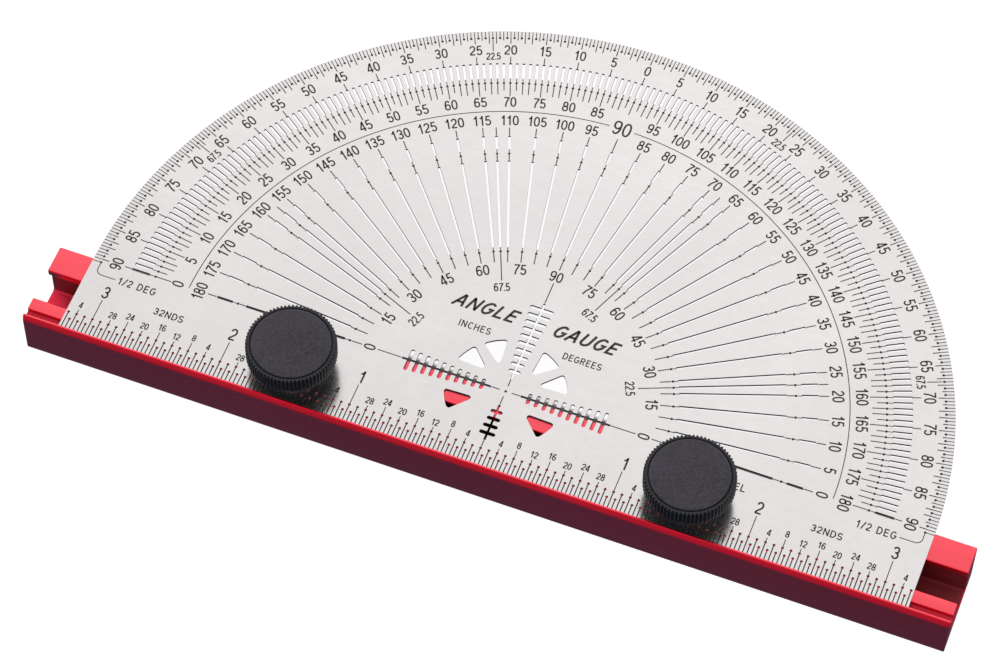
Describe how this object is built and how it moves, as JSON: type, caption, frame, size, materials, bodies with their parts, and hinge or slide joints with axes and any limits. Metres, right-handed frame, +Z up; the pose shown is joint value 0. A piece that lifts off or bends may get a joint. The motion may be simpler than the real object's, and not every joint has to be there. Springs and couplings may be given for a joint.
{
  "type": "marking protractor with t-square head",
  "caption": "Semicircular sheet-steel marking protractor with sight slots and windows, clamped flat on an anodised T-slot fence bar by ribbed thumb knobs.",
  "frame": {"origin": "middle of the footprint, in the plane of the bar's base", "axes": "+X along the bar to the right as the scale is read, +Y from the bar towards the protractor's rim, +Z up out of the blade's face"},
  "size_m": [0.1778, 0.0987, 0.0182],
  "materials": {
    "red_anodised": "satin red anodised extrusion",
    "stainless_sheet": "fine satin stainless with etched marks",
    "zinc_steel": "bright zinc plated",
    "brass_insert": "turned",
    "black_plastic": "moulded, satin",
    "cap_plastic": "fine stipple"
  },
  "bodies": {
    "fence": {"t_bar": "red_anodised"},
    "blade": {"protractor_blade": "stainless_sheet", "clamp_bolt_left": "zinc_steel", "clamp_bolt_right": "zinc_steel", "washer_left": "zinc_steel", "washer_right": "zinc_steel"},
    "left_lift": {"knob_insert_left": "brass_insert"},
    "left_knob": {"knob_body_left": "black_plastic", "knob_cap_left": "cap_plastic"},
    "right_lift": {"knob_insert_right": "brass_insert"},
    "right_knob": {"knob_body_right": "black_plastic", "knob_cap_right": "cap_plastic"}
  },
  "joints": [
    {"name": "blade_slide", "type": "slide", "parent": "fence", "child": "blade", "axis": [1, 0, 0], "range_m": [-0.0457, 0.0466]},
    {"name": "left_knob_lift", "type": "slide", "parent": "blade", "child": "left_lift", "axis": [0, 0, 1], "range_m": [0, 0.00476]},
    {"name": "left_knob_turn", "type": "hinge", "parent": "left_lift", "child": "left_knob", "pos_m": [-0.03856, -0.04111, 0.017], "axis": [0, 0, 1], "range_deg": [0, 2160]},
    {"name": "right_knob_lift", "type": "slide", "parent": "blade", "child": "right_lift", "axis": [0, 0, 1], "range_m": [0, 0.00476]},
    {"name": "right_knob_turn", "type": "hinge", "parent": "right_lift", "child": "right_knob", "pos_m": [0.03764, -0.04111, 0.017], "axis": [0, 0, 1], "range_deg": [0, 2160]}
  ],
  "couplings": [
    {"joint": "left_knob_turn", "follows": "left_knob_lift", "rad_per_m": 7915.8},
    {"joint": "right_knob_turn", "follows": "right_knob_lift", "rad_per_m": 7915.8}
  ]
}
